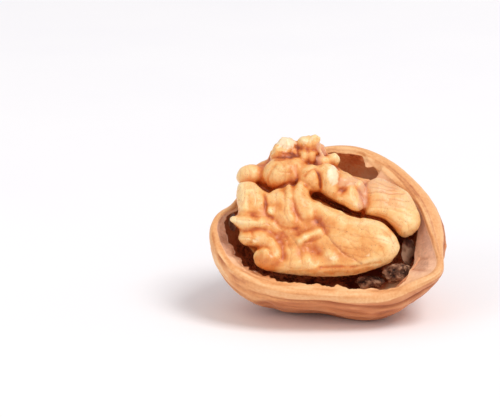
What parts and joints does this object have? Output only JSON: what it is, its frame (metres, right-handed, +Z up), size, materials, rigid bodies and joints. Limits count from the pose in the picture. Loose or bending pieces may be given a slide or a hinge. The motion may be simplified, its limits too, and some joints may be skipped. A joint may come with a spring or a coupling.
{
  "type": "cracked walnut half",
  "caption": "Cracked walnut: an open woody half shell lying tilted on its back, with the wrinkled kernel half still in it and scraps of dried dividing wall.",
  "frame": {"origin": "under the middle of the whole nut, on the surface it rests on", "axes": "+X along the nut towards the shell's pointed tip, +Z up, the opening leans towards -Y"},
  "size_m": [0.0429, 0.0378, 0.0308],
  "materials": {
    "shell": "dry woody shell, pale where it cracked",
    "kernel": "thin papery skin over pale flesh, slightly oily",
    "membrane": "dry papery dividing wall",
    "pith": "dark crumbly pith"
  },
  "bodies": {
    "root": {"shell_half": "shell", "kernel_half": "kernel", "septum_shard": "membrane", "septum_scrap_left": "membrane", "pith_crumb_tip": "pith", "pith_crumb_front": "pith"}
  },
  "joints": []
}
